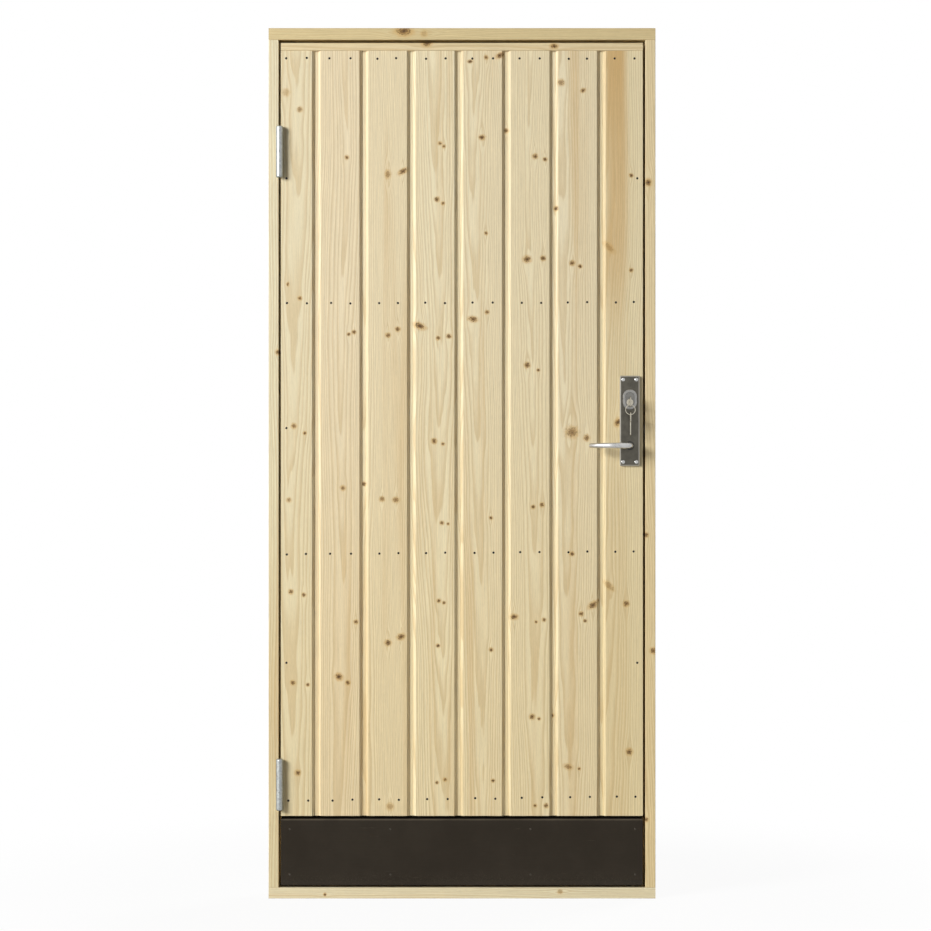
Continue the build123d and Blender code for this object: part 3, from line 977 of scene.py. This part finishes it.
@dataclass(frozen=True)
class Screw(Nail):
    """A screw's raised head with a six-lobed recess.

    Each step of its dome has a share of the rise and a share of the width before it. Crown and recess
    are shares of the radius.
    """

    radius: float = 4.2 * MM
    rise: float = 1.1 * MM
    sides: int = 24
    steps: tuple[Span, ...] = ((0.6, 0.86), (0.4, 0.72))
    crown: float = 0.62
    recess: float = 0.46
    recess_depth: float = 0.8 * MM
    recess_taper: float = 0.92
    lobes: int = 6
    lobe: float = 0.2

    def head(self) -> bpy.types.Mesh:
        """Builds the head on the origin, looking up.

        Returns:
            The head's mesh.
        """
        bm = bmesh.new()
        bmesh.ops.create_circle(bm, cap_ends=True, segments=self.sides, radius=self.radius)
        cap = bm.faces[:]
        for share, width in self.steps:
            cap = self.raise_cap(bm, cap, share * self.rise, width)
        bmesh.ops.inset_region(bm, faces=cap, thickness=(self.crown - self.recess) * self.radius)
        for vert in cap[0].verts:
            angle = math.atan2(vert.co.y, vert.co.x)
            vert.co.xy = vert.co.xy * (1.0 + self.lobe * math.cos(self.lobes * angle))
        self.raise_cap(bm, cap, -self.recess_depth, self.recess_taper)
        return keep_mesh("head", bm)

    def raise_cap(
        self, bm: bmesh.types.BMesh, cap: list[bmesh.types.BMFace], rise: float, width: float
    ) -> list[bmesh.types.BMFace]:
        """Raises the cap of a head and leaves nothing in its old place.

        Args:
            bm: The head so far.
            cap: The one face that closes it.
            rise: How far the cap moves up.
            width: Its new width, as a share of the old.

        Returns:
            The moved cap.
        """
        moved = self.raise_faces(bm, cap, rise, width)
        bmesh.ops.delete(bm, geom=[face for face in cap if face.is_valid], context="FACES_ONLY")
        return moved


def fasteners(kind: Nail, places: list[Triple], facing: Facing) -> bmesh.types.BMesh:
    """Sets copies of a head at some places.

    Args:
        kind: The nail or the screw.
        places: The middles of the heads, on the surface that holds them.
        facing: The side that they look to.

    Returns:
        One bmesh of all the heads.
    """
    turn = Vector((0.0, 0.0, 1.0)).rotation_difference(Vector(facing.value)).to_matrix().to_4x4()
    bm = bmesh.new()
    head = kind.head()
    for place in places:
        copy = head.copy()
        copy.transform(Matrix.Translation(place) @ turn)
        bm.from_mesh(copy)
        bpy.data.meshes.remove(copy)
    bpy.data.meshes.remove(head)
    return bm


@dataclass
class DoorFrame:
    """The rebated frame: two jambs, a head and a sill of planed pine."""

    jamb_knots: dict[str, tuple[Knot, ...]] = field(default_factory=lambda: {
        "hinge_jamb": (Knot(278, 352, 4.0, dark=0.9),),
        "lock_jamb": (
            Knot(648, 182, 5.5, dark=1.0), Knot(646, 535, 4.0), Knot(653, 651, 5.0, dark=0.9),
            Knot(646, 820, 3.5),
        ),
    })
    head_knots: tuple[Knot, ...] = (
        Knot(404, 30.5, 8.0, stretch=1.7, dark=0.9), Knot(424, 33, 5.0, dark=0.25),
    )
    sill_knots: tuple[Knot, ...] = (Knot(325, 895, 2.6, dark=1.0), Knot(560, 892, 4.0, dark=0.4))
    hinge_side: Colour = (0.75, 0.69, 0.48)
    lock_side: Colour = (0.78, 0.655, 0.39)
    head_tone: Colour = (0.675, 0.545, 0.295)
    sill_tone: Colour = (0.82, 0.755, 0.56)
    pith_aside: float = 0.12

    def build(self) -> None:
        """Dresses the four timbers."""
        for node, knots in self.jamb_knots.items():
            early = self.lock_side if node == "lock_jamb" else self.hinge_side
            dress(node, PineFinish(early=early, knots=knots, pith_aside=self.pith_aside).material(node))
        level = {"head": (self.head_tone, self.head_knots), "sill": (self.sill_tone, self.sill_knots)}
        for node, (early, knots) in level.items():
            finish = PineFinish(Grain.LEVEL, early=early, knots=knots, pith_aside=self.pith_aside)
            dress(node, finish.material(node))


@dataclass(frozen=True)
class NailRow:
    """A row of nails, by the photograph's rows at its two ends.

    Shift is how far its pairs sit off the middles of the boards, in millimetres.
    """

    left_row: float
    right_row: float
    shift: float

    def height(self, share: float) -> float:
        """The row's height at a share of the leaf's width from the hinge side."""
        return PHOTO.height(self.left_row + share * (self.right_row - self.left_row))


@dataclass
class Boarding:
    """Eight tongued and grooved boards and the strip over their tops, nailed to the leaf's frame."""

    nail: Nail = Nail()
    # The heads are dark steel, made near-black as painted shade for heads sunk in their holes.
    nail_steel: MetalFinish = MetalFinish("nail_steel", (0.045, 0.04, 0.035), 0.5)
    pair_half: float = 21.9 * MM
    stray_across: float = 2.4 * MM
    stray_up: float = 1.0 * MM
    nail_rows: tuple[NailRow, ...] = (
        NailRow(57.8, 58.3, -0.4), NailRow(303.3, 302.0, 1.3),
        NailRow(554.3, 551.6, 1.3), NailRow(801.2, 796.9, 4.8),
    )
    edge_rows: tuple[float, ...] = (178.0, 428.0, 663.0)
    edge_inset: float = 12.5 * MM
    groove: float = 20.5 * MM
    chamfer: float = 5.5 * MM
    tongue: float = 6.5 * MM
    tones: dict[str, Colour] = field(default_factory=lambda: {
        "hinge_board": (0.765, 0.67, 0.45), "board_4": (0.82, 0.72, 0.49), "lock_board": (0.79, 0.68, 0.435),
    })
    strip_tone: Colour = (0.74, 0.61, 0.365)
    strip_knots: tuple[Knot, ...] = (
        Knot(427, 43, 5.0, stretch=1.6, dark=0.9), Knot(554, 46, 4.0, stretch=1.6, dark=1.0),
    )
    hearts: dict[str, Triple] = field(default_factory=lambda: {
        "lock_board": (0.350, 0.026, 0.86), "board_4": (-0.050, 0.010, 0.22), "board_7": (0.272, 0.016, 0.16),
    })
    knots: dict[str, tuple[Knot, ...]] = field(default_factory=lambda: {
        "hinge_board": (
            Knot(286, 92, 6.0, dark=0.25), Knot(300, 109, 4.5, dark=0.6),
            Knot(288, 284, 3.6, stretch=0.6), Knot(300, 298, 3.4), Knot(294, 426, 4.4, dark=0.75),
            Knot(305, 433, 2.8, dark=1.0), Knot(289, 500, 4.0, dark=0.6), Knot(291, 592, 4.0),
            Knot(304, 595, 3.4), Knot(293, 683, 4.0), Knot(308, 685, 3.0), Knot(298, 773, 4.5),
        ),
        "board_2": (
            Knot(347, 157, 3.5), Knot(354, 332, 3.4), Knot(349, 334, 3.0), Knot(343, 488, 4.2, dark=0.75),
            Knot(356, 622, 3.5), Knot(339, 677, 5.6, stretch=1.2, lean=-25), Knot(348, 683, 3.8),
        ),
        "board_3": (
            Knot(388, 174, 6.2, stretch=0.8, dark=0.55), Knot(403, 171, 4.2, stretch=2.0, lean=30),
            Knot(398, 329, 4.0), Knot(388, 335, 4.0), Knot(382, 499, 4.2, dark=0.7),
            Knot(396, 500, 4.5, stretch=1.2, dark=0.7), Knot(364, 484, 3.5), Knot(388, 643, 5.0),
            Knot(401, 637, 5.0, stretch=1.3, lean=25), Knot(390, 807, 5.6, dark=0.4),
        ),
        "board_4": (
            Knot(440, 143, 3.2), Knot(444, 146, 2.8), Knot(437, 199, 4.2), Knot(443, 203, 3.0),
            Knot(420, 326, 5.0, stretch=2.0, lean=-22), Knot(438, 338, 3.4), Knot(449, 336, 4.0),
            Knot(434, 441, 4.4), Knot(443, 444, 2.9), Knot(442, 523, 3.4), Knot(448, 524, 2.4),
            Knot(439, 601, 3.4), Knot(444, 603, 2.8), Knot(438, 646, 3.2, dark=1.0), Knot(437, 783, 2.8),
            Knot(445, 780, 3.0, dark=1.0),
        ),
        "board_5": (
            Knot(486, 57, 3.4), Knot(470, 61, 3.0, stretch=1.4), Knot(500, 55, 4.4, stretch=1.6, lean=25),
            Knot(482, 137, 4.4, stretch=1.2), Knot(486, 233, 3.0),
            Knot(473, 319, 4.6, stretch=1.7, lean=-12), Knot(487, 312, 3.4),
            Knot(491, 518, 3.0, dark=1.0), Knot(491, 650, 3.3, dark=1.0), Knot(493, 781, 3.0, dark=1.0),
        ),
        "board_6": (
            Knot(506, 130, 4.0), Knot(535, 156, 4.4), Knot(545, 159, 3.4),
            Knot(527, 259, 5.6, stretch=1.2), Knot(543, 258, 4.4), Knot(527, 365, 4.8),
            Knot(538, 370, 2.6, dark=1.0), Knot(533, 507, 3.4, dark=1.0), Knot(542, 505, 3.8),
            Knot(514, 617, 4.6, stretch=1.4), Knot(536, 622, 2.4, dark=1.0), Knot(544, 620, 3.4),
            Knot(532, 717, 4.6), Knot(539, 719, 2.8), Knot(535, 806, 2.8, dark=1.0), Knot(546, 806, 3.8),
        ),
        "board_7": (
            Knot(561, 82, 5.6, dark=0.6), Knot(583, 90, 3.4, stretch=1.3, lean=30),
            Knot(556, 208, 3.8, dark=1.0), Knot(572, 263, 4.4), Knot(580, 266, 3.2, dark=1.0),
            Knot(571.7, 432.2, 9.0, stretch=1.1, dark=0.7, cracks=0.7), Knot(586.6, 437.9, 5.0, dark=0.8),
            Knot(572, 554, 3.8), Knot(593, 605, 5.0, stretch=1.8, lean=35), Knot(600, 601, 4.0),
            Knot(581, 614, 3.8), Knot(585, 621, 2.8), Knot(552, 716, 3.4),
            Knot(568, 767, 4.4, stretch=1.6, lean=-15, dark=0.65), Knot(579, 769, 2.5, dark=1.0),
        ),
        "lock_board": (
            Knot(631, 175, 3.4), Knot(609, 247, 4.6, stretch=2.4, lean=-45, dark=0.35),
            Knot(631, 270, 3.4), Knot(617.8, 422.1, 5.0, stretch=1.5, lean=60),
            Knot(609, 586, 4.6, stretch=2.2, lean=-45, dark=0.4), Knot(626, 604, 5.0),
            Knot(629, 752, 5.4),
        ),
    })

    def build(self) -> None:
        """Dresses the boards and the strip, and drives the nails."""
        for node, knots in self.knots.items():
            early = self.tones.get(node, PineFinish.early)
            heart = self.hearts.get(node, PineFinish.heart)
            dress(node, PineFinish(early=early, heart=heart, knots=knots).material(node))
        strip = PineFinish(Grain.LEVEL, early=self.strip_tone, knots=self.strip_knots)
        dress("top_strip", strip.material("top_strip"))
        places = self.nail_places()
        heads = fasteners(self.nail, places, Facing.OUT)
        finish_piece("board_nails", heads, self.nail_steel.material(), "leaf")

    def face(self, node: str) -> Triple:
        """Where a board's flat face starts and ends, and its place from front to back.

        Args:
            node: The board's name.

        Returns:
            The left edge, the right edge and the front.
        """
        low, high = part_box(node)
        names = list(self.knots)
        left = low.x if node == names[0] else low.x + self.tongue + self.groove - self.chamfer
        right = high.x if node == names[-1] else high.x - self.chamfer
        return left, right, low.y

    def nail_places(self) -> list[Triple]:
        """Places the nails.

        Returns:
            The middles of the heads, two on each board in each row and some along the stiles.
        """
        draw = random.Random("nails")
        names = list(self.knots)
        first_left, _, front = self.face(names[0])
        _, last_right, _ = self.face(names[-1])
        places = []
        for node in names:
            left, right, _ = self.face(node)
            for nails in self.nail_rows:
                for side in (-1.0, 1.0):
                    x = (left + right) / 2 + nails.shift * MM + side * self.pair_half
                    share = (x - first_left) / (last_right - first_left)
                    x += draw.uniform(-self.stray_across, self.stray_across)
                    z = nails.height(share) + draw.uniform(-self.stray_up, self.stray_up)
                    places.append((x, front, z))
        plate_low, plate_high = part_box("outside_plate")
        for row in self.edge_rows:
            height = PHOTO.height(row)
            places.append((first_left + self.edge_inset, front, height))
            if not plate_low.z < height < plate_high.z:
                places.append((last_right - self.edge_inset, front, height))
        return places


@dataclass
class LeafFraming:
    """The stiles and rails behind the boards, and the board behind the kick plate."""

    stiles: tuple[str, ...] = ("hinge_stile", "lock_stile")
    rails: tuple[str, ...] = (
        "top_rail", "upper_middle_rail", "lower_middle_rail", "bottom_rail", "kick_board",
    )
    early: Colour = (0.75, 0.645, 0.43)
    knots_each: int = 4
    knot_radius: Span = (3.5, 8.0)
    knot_dark: Span = (0.5, 0.9)

    def build(self) -> None:
        """Dresses the timbers."""
        for grain, nodes in ((Grain.UPRIGHT, self.stiles), (Grain.LEVEL, self.rails)):
            for node in nodes:
                finish = PineFinish(grain, early=self.early, knots=self.some_knots(node))
                dress(node, finish.material(node))

    def some_knots(self, node: str) -> tuple[Knot, ...]:
        """A few knots on a timber that the photograph doesn't show.

        Args:
            node: The timber's name, which also picks the knots.

        Returns:
            Its knots.
        """
        draw = random.Random(f"knots of {node}")
        low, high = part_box(node)
        knots = []
        for _ in range(self.knots_each):
            column = PHOTO.column(draw.uniform(low.x, high.x))
            row = PHOTO.row(draw.uniform(low.z, high.z))
            radius = draw.uniform(*self.knot_radius)
            knots.append(Knot(column, row, radius, dark=draw.uniform(*self.knot_dark)))
        return tuple(knots)


@dataclass
class KickPlate:
    """The folded dark sheet at the foot of the leaf, with two rows of small nails."""

    nail: Nail = Nail(radius=2.4 * MM, rise=0.5 * MM)
    columns: tuple[float, ...] = (290.0, 390.5, 530.5, 635.0)
    rows: tuple[float, ...] = (829.5, 875.0)
    nail_steel: MetalFinish = MetalFinish("kick_nails", (0.07, 0.062, 0.05), 0.4)

    def build(self) -> None:
        """Dresses the sheet and drives its nails."""
        dress("kick_plate", SheetFinish().material())
        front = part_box("kick_plate")[0].y
        places = [
            (PHOTO.across(column), front, PHOTO.height(row)) for column in self.columns for row in self.rows
        ]
        heads = fasteners(self.nail, places, Facing.OUT)
        finish_piece("kick_plate_nails", heads, self.nail_steel.material(), "leaf")


@dataclass
class Hinges:
    """Two lift-off hinges of zinc-plated steel, each half screwed through its blade."""

    screw: Screw = Screw(radius=3.9 * MM, rise=0.3 * MM)
    knuckle_half: float = 59.0 * MM
    blade_front: float = -46.0 * MM
    hinge_gap: float = 5.0 * MM
    screw_spots: tuple[Span, ...] = (
        (10.0 * MM, -16.0 * MM), (25.0 * MM, 0.0), (10.0 * MM, 16.0 * MM),
    )

    def build(self, zinc: bpy.types.Material) -> None:
        """Dresses the halves and drives their screws.

        Args:
            zinc: The finish of the hinges and screws.
        """
        for body, facing in (("frame", Facing.LOCK_SIDE), ("leaf", Facing.HINGE_SIDE)):
            places = []
            for level in ("upper", "lower"):
                node = f"{level}_hinge_{body}_half"
                dress(node, zinc)
                places += self.screw_places(node, body)
            name = f"hinge_screws_{body}"
            finish_piece(name, fasteners(self.screw, places, facing), zinc, body)

    def screw_places(self, node: str, body: str) -> list[Triple]:
        """The middles of the screw heads on a blade.

        Args:
            node: The hinge half.
            body: The body that it is on.

        Returns:
            Three places on the blade's open face.
        """
        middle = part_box(node)[0].z + self.knuckle_half / 2
        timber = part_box("hinge_stile")[0].x - (0.0 if body == "leaf" else self.hinge_gap)
        return [(timber, self.blade_front + depth, middle + rise) for depth, rise in self.screw_spots]


@dataclass
class LockSet:
    """Lever handles on long plates, an oval cylinder in its ring, the lock case and the strike plate."""

    screw: Screw = Screw()
    flush_screw: Screw = Screw(radius=3.9 * MM, rise=0.2 * MM)
    corner_x: float = 7.5 * MM
    corner_z: float = 9.0 * MM
    strike_end: float = 12.0 * MM
    forend_end: float = 6.0 * MM
    # The plate's tone is a dark antique finish, made darker as a painted reflection of a dark surround; its
    # bevels carry a painted highlight.
    plate: MetalFinish = MetalFinish("satin_plate", (0.118, 0.11, 0.09), 0.36, bevel_highlight=(0.36, 0.35, 0.32))
    lever: MetalFinish = MetalFinish("satin_lever", (0.62, 0.62, 0.61), 0.30, Lay.ALONG_X)
    cylinder: MetalFinish = MetalFinish("nickel_cylinder", (0.22, 0.215, 0.20), 0.26)
    ring: MetalFinish = MetalFinish("satin_ring", (0.36, 0.355, 0.34), 0.28)
    key: MetalFinish = MetalFinish("nickel_key", (0.60, 0.56, 0.46), 0.27)
    # The near-black bushings are painted shade of the hole where each lever neck enters its plate.
    bushing: PlasticFinish = PlasticFinish("dark_bushing", (0.012, 0.012, 0.012), 0.5)
    bright: MetalFinish = MetalFinish("bright_screws", (0.60, 0.60, 0.58), 0.24)

    def build(self, zinc: bpy.types.Material) -> None:
        """Dresses the lock's pieces and drives the screws.

        Args:
            zinc: The finish of the hidden steel.
        """
        self.dress_pieces(zinc)
        bright = self.bright.material()
        for node, facing in (("outside_plate", Facing.OUT), ("inside_plate", Facing.IN)):
            heads = fasteners(self.screw, self.corners(node, facing), facing)
            finish_piece(f"{node}_screws", heads, bright, "leaf")
        low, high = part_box("strike_plate")
        y = (low.y + high.y) / 2
        places = [(low.x, y, low.z + self.strike_end), (low.x, y, high.z - self.strike_end)]
        heads = fasteners(self.flush_screw, places, Facing.HINGE_SIDE)
        finish_piece("strike_screws", heads, zinc, "frame")
        low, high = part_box("lock_case")
        places = [(high.x, y, low.z + self.forend_end), (high.x, y, high.z - self.forend_end)]
        heads = fasteners(self.flush_screw, places, Facing.LOCK_SIDE)
        finish_piece("forend_screws", heads, zinc, "leaf")

    def dress_pieces(self, zinc: bpy.types.Material) -> None:
        """Gives each piece of the lock its finish.

        Args:
            zinc: The finish of the hidden steel.
        """
        finishes = {
            self.plate.material(): ("outside_plate", "inside_plate"),
            self.lever.material(): ("outside_lever", "inside_lever"),
            self.bushing.material(): ("outside_bushing", "inside_bushing"),
            self.ring.material(): ("cylinder_ring",),
            self.cylinder.material(): ("lock_cylinder",),
            self.key.material(): ("cylinder_plug", "door_key", "spare_key", "key_ring"),
            zinc: ("lock_case", "latch_bolt", "spindle", "strike_plate"),
        }
        for material, nodes in finishes.items():
            for node in nodes:
                dress(node, material)

    def corners(self, node: str, facing: Facing) -> list[Triple]:
        """The middles of the four screws of a long plate.

        Args:
            node: The plate.
            facing: The side that it looks to.

        Returns:
            One place in each corner.
        """
        low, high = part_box(node)
        y = low.y if facing is Facing.OUT else high.y
        across = (low.x + self.corner_x, high.x - self.corner_x)
        return [(x, y, z) for x in across for z in (low.z + self.corner_z, high.z - self.corner_z)]


@dataclass(frozen=True)
class Lamp:
    """A square soft light, its place and aim in metres, its spread in degrees and its power in watts."""

    name: str
    place: Triple
    aim: Triple
    size: float
    spread: float
    power: float

    def hang(self) -> None:
        """Puts the light at its place, turned to its aim."""
        light = bpy.data.lights.new(self.name, "AREA")
        light.size = self.size
        light.spread = math.radians(self.spread)
        light.energy = self.power
        lamp = bpy.data.objects.new(self.name, light)
        lamp.location = self.place
        lamp.rotation_euler = (Vector(self.aim) - Vector(self.place)).to_track_quat("-Z", "Y").to_euler()
        bpy.context.scene.collection.objects.link(lamp)


@dataclass
class Studio:
    """A white floor and surround, a soft light on each face, and the photograph's camera."""

    floor_half: float = 30.0
    floor_white: float = 0.93
    floor_tone: Colour = (0.9, 0.9, 0.9)
    floor_rough: float = 0.9
    shadow_fade: Span = (0.64, 1.6)
    ambient: float = 0.03
    key: Lamp = Lamp("key_light", (-6.0, -5.0, 3.4), (-0.3, 0.0, 1.5), 3.0, 90.0, 203.0)
    back: Lamp = Lamp("back_light", (5.0, 6.0, 2.2), (0.3, 0.0, 1.2), 3.4, 90.0, 150.0)
    camera_distance: float = 6.0

    def build(self) -> None:
        """Sets up the floor, the world, the lights, the camera and the view transform."""
        self.add_floor()
        self.add_world()
        self.key.hang()
        self.back.hang()
        self.add_camera()
        bpy.context.scene.view_settings.view_transform = "Standard"

    def seen(self, w: Wiring) -> Socket:
        """Tells the rays that see the surround from those that only carry its light.

        Args:
            w: The wiring of the floor or the world.

        Returns:
            One for rays from the camera and through gloss or glass, and otherwise none.
        """
        path = w.node("ShaderNodeLightPath")
        rays = [path.outputs[f"Is {kind} Ray"] for kind in ("Camera", "Glossy", "Transmission")]
        return w.larger(w.larger(rays[0], rays[1]), rays[2])

    def add_floor(self) -> None:
        """Lays the white floor, which keeps a faint shadow."""
        bm = bmesh.new()
        bmesh.ops.create_grid(bm, x_segments=1, y_segments=1, size=self.floor_half)
        mesh = bpy.data.meshes.new("floor")
        bm.to_mesh(mesh)
        bm.free()
        material, w, shader = new_material("white_floor")
        shader.inputs["Base Color"].default_value = (*self.floor_tone, 1.0)
        shader.inputs["Roughness"].default_value = self.floor_rough
        glow = w.node("ShaderNodeEmission")
        both = w.node("ShaderNodeMixShader")
        far = w.node("ShaderNodeVectorMath", operation="LENGTH")
        w.put(far.inputs[0], w.object_place())
        white = w.fade(far.outputs["Value"], *self.shadow_fade, self.floor_white, 1.0)
        w.put(both.inputs[0], w.times(self.seen(w), white))
        w.put(both.inputs[1], shader.outputs[0])
        w.put(both.inputs[2], glow.outputs[0])
        w.put(material.node_tree.nodes["Material Output"].inputs["Surface"], both.outputs[0])
        mesh.materials.append(material)
        floor = bpy.data.objects.new("floor", mesh)
        bpy.context.scene.collection.objects.link(floor)

    def add_world(self) -> None:
        """Fills the surround with even light that looks white."""
        world = bpy.data.worlds.new("surround")
        bpy.context.scene.world = world
        world.use_nodes = True
        w = Wiring(world.node_tree)
        background = world.node_tree.nodes["Background"]
        background.inputs["Color"].default_value = (1.0, 1.0, 1.0, 1.0)
        strength = w.times_plus(self.seen(w), 1.0 - self.ambient, self.ambient)
        w.put(background.inputs["Strength"], strength)

    def add_camera(self) -> None:
        """Places the camera square to the door, framed as in the photograph."""
        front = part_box("hinge_board")[0].y
        middle = PHOTO.image_side / 2
        data = bpy.data.cameras.new("camera")
        wide = PHOTO.image_side * (PHOTO.pixel_width + PHOTO.pixel_height) / 2
        data.angle = 2.0 * math.atan(wide / 2 / self.camera_distance)
        camera = bpy.data.objects.new("camera", data)
        camera.location = (PHOTO.across(middle), front - self.camera_distance, PHOTO.height(middle))
        camera.rotation_euler = (math.pi / 2, 0.0, 0.0)
        bpy.context.scene.collection.objects.link(camera)
        bpy.context.scene.camera = camera


def main() -> None:
    """Dresses the door piece by piece and sets up the studio."""
    logging.basicConfig(level=logging.INFO, format="%(name)s: %(message)s")
    zinc = ZincFinish().material()
    DoorFrame().build()
    Boarding().build()
    LeafFraming().build()
    KickPlate().build()
    Hinges().build(zinc)
    LockSet().build(zinc)
    Studio().build()


if __name__ == "__main__":
    main()
